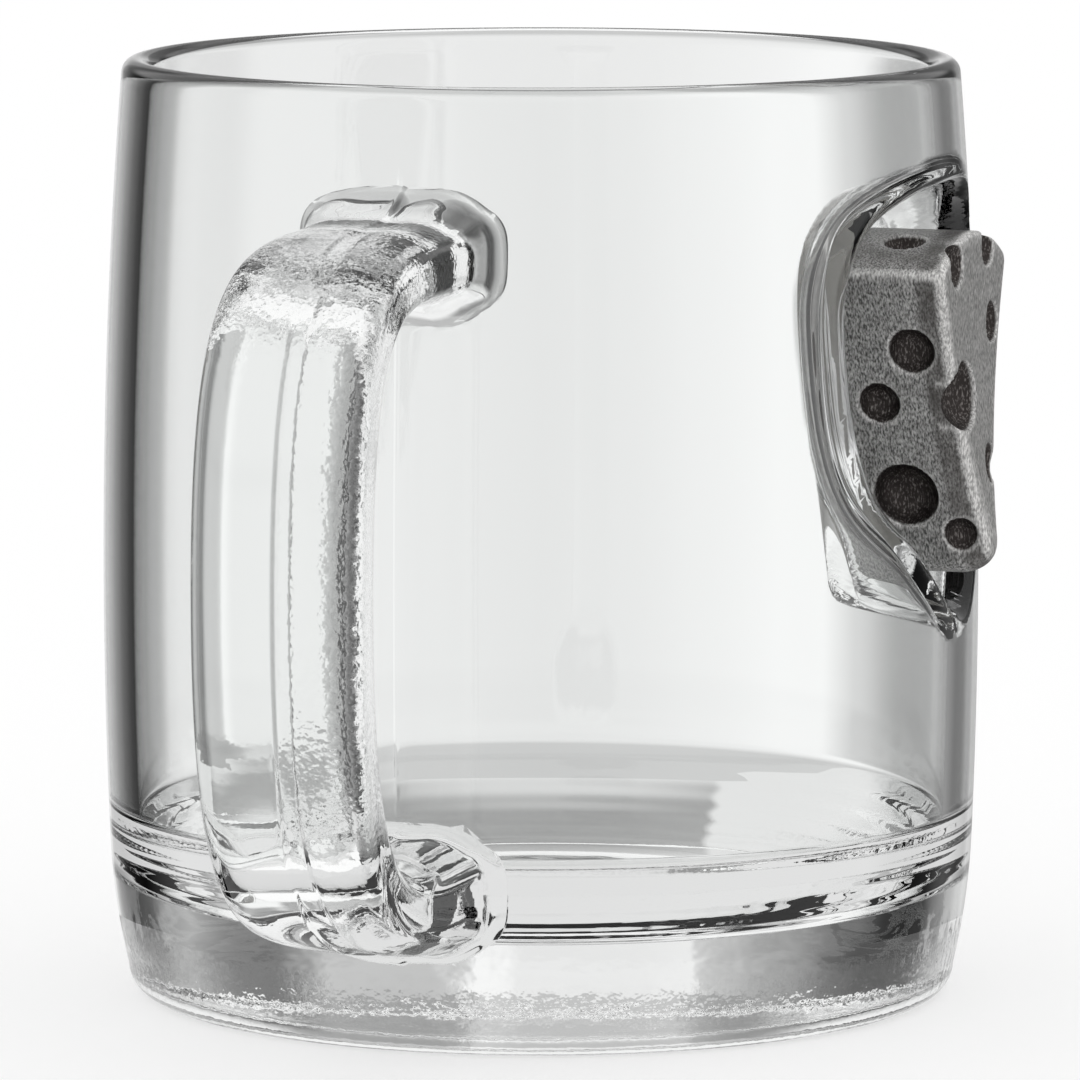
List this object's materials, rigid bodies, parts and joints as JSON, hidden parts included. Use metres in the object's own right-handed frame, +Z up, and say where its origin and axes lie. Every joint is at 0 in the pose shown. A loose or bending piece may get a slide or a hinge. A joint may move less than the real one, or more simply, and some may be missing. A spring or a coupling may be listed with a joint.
{
  "type": "coffee mug",
  "caption": "Clear glass coffee mug with a heavy base, a pressed D-shaped handle and a cast metal cheese wedge bonded into a hollow pressed in its wall.",
  "frame": {"origin": "on the mug's axis at the plane its foot ring stands on", "axes": "+Z up along the mug's axis, -Y out through the cheese wedge, -X out through the handle"},
  "size_m": [0.1249, 0.0925, 0.0953],
  "materials": {
    "clear_glass": "clear fire-polished soda-lime glass",
    "pressed_glass": "clear pressed glass with a faint orange-peel skin and a mould seam",
    "cast_pewter": "cast pewter-grey metal, dark antique patina, edges rubbed bright",
    "clear_resin": "clear cured resin"
  },
  "bodies": {
    "root": {"glass_body": "clear_glass", "handle": "pressed_glass", "cheese_insert": "cast_pewter", "adhesive_bed": "clear_resin"}
  },
  "joints": []
}
